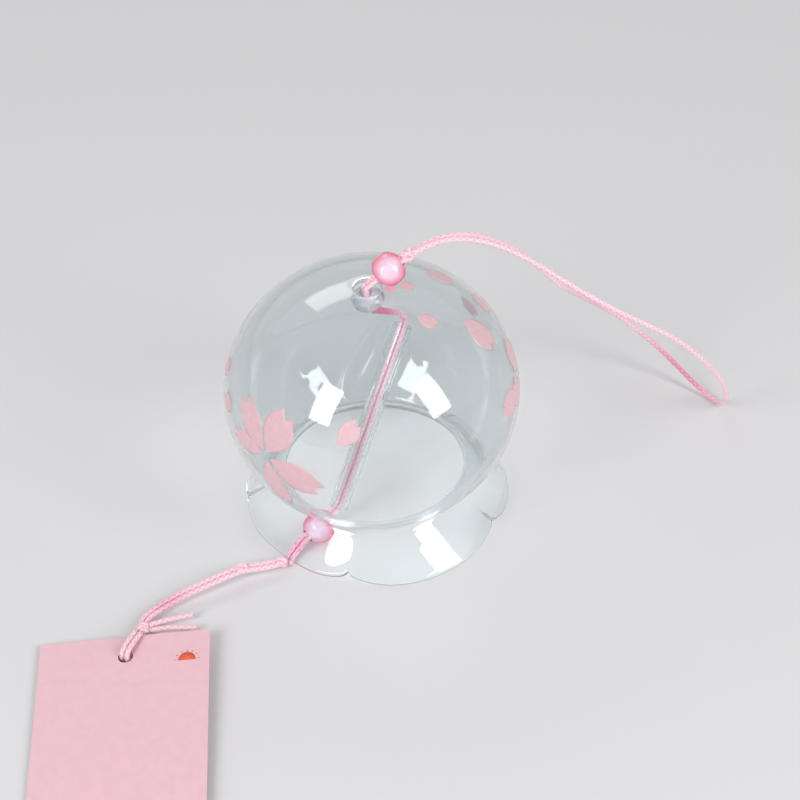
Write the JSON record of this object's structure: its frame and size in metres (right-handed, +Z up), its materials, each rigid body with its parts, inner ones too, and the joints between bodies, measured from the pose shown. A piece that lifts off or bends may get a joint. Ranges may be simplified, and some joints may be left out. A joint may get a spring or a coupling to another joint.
{
  "type": "furin wind bell",
  "caption": "Glass wind bell with a petal-edged skirt, beads and a glass clapper tube on a doubled pink cord, a hanging loop and a paper tag.",
  "frame": {"origin": "on the table under the bell's axis, at the centre of the circle that the lip stands on", "axes": "+Z up the bell's axis, +X to the viewer's right where the hanging loop lies, +Y away from the viewer"},
  "size_m": [0.1916, 0.2414, 0.0869],
  "materials": {
    "glass": "clear blown glass, polished",
    "tube_glass": "clear drawn glass tube",
    "pink_acrylic": "faceted clear pink acrylic",
    "clear_acrylic": "faceted clear acrylic",
    "cord": "thin braided nylon cord",
    "paper": "matte pale pink card"
  },
  "bodies": {
    "bell": {"glass_bell": "glass", "lead_cord_left": "cord", "lead_cord_right": "cord"},
    "crown_cord": {"throat_cord_left": "cord", "throat_cord_right": "cord"},
    "clear_bead": {"inner_bead": "clear_acrylic"},
    "hanger": {"neck_cord_left": "cord", "neck_cord_right": "cord", "top_knot": "cord", "hanging_loop": "cord"},
    "crown_bead": {"top_bead": "pink_acrylic"},
    "clapper": {"clapper_cord_left": "cord", "clapper_cord_right": "cord"},
    "striker": {"clapper_tube": "tube_glass"},
    "clapper_bead": {"lower_bead": "pink_acrylic"},
    "tail": {"rim_knot": "cord", "tail_cord_back": "cord", "tail_cord_front": "cord", "middle_knot": "cord", "tag_knot": "cord", "cut_end_long": "cord", "cut_end_short": "cord"},
    "tag": {"paper_tag": "paper", "tag_loop_left": "cord", "tag_loop_right": "cord"}
  },
  "joints": [
    {"name": "crown_turn", "type": "hinge", "parent": "bell", "child": "crown_cord", "pos_m": [0, 0, 0.0748], "axis": [0, 0, 1], "range_deg": [-90, 90]},
    {"name": "clear_bead_spin", "type": "hinge", "parent": "crown_cord", "child": "clear_bead", "pos_m": [0, 0, 0.07075], "axis": [-0.17, -0.12, 0.9781], "continuous": true},
    {"name": "loop_lift", "type": "hinge", "parent": "crown_cord", "child": "hanger", "pos_m": [-0.00075, -0.00053, 0.07505], "axis": [0.3017, -0.9534, 0], "range_deg": [0, 60]},
    {"name": "top_bead_spin", "type": "hinge", "parent": "hanger", "child": "crown_bead", "pos_m": [0.00572, 0.00152, 0.07929], "axis": [0.8086, 0.2559, 0.5298], "continuous": true},
    {"name": "clapper_swing", "type": "hinge", "parent": "bell", "child": "clapper", "pos_m": [0, 0, 0.07075], "axis": [0.7476, -0.6641, 0], "range_deg": [0, 34]},
    {"name": "tube_spin", "type": "hinge", "parent": "clapper", "child": "striker", "pos_m": [-0.0106, -0.0134, 0.0077], "axis": [0.356, 0.403, 0.8431], "continuous": true},
    {"name": "lower_bead_spin", "type": "hinge", "parent": "clapper", "child": "clapper_bead", "pos_m": [-0.0159, -0.0179, 0.00475], "axis": [-0.7753, -0.614, -0.1481], "continuous": true},
    {"name": "tail_turn", "type": "hinge", "parent": "bell", "child": "tail", "pos_m": [-0.02615, -0.02785, 0.0024], "axis": [0, 0, 1], "range_deg": [-15, 15]},
    {"name": "tag_fold", "type": "hinge", "parent": "tail", "child": "tag", "pos_m": [-0.0623, -0.051, 0.0026], "axis": [-1, 0, 0], "range_deg": [0, 90]}
  ]
}
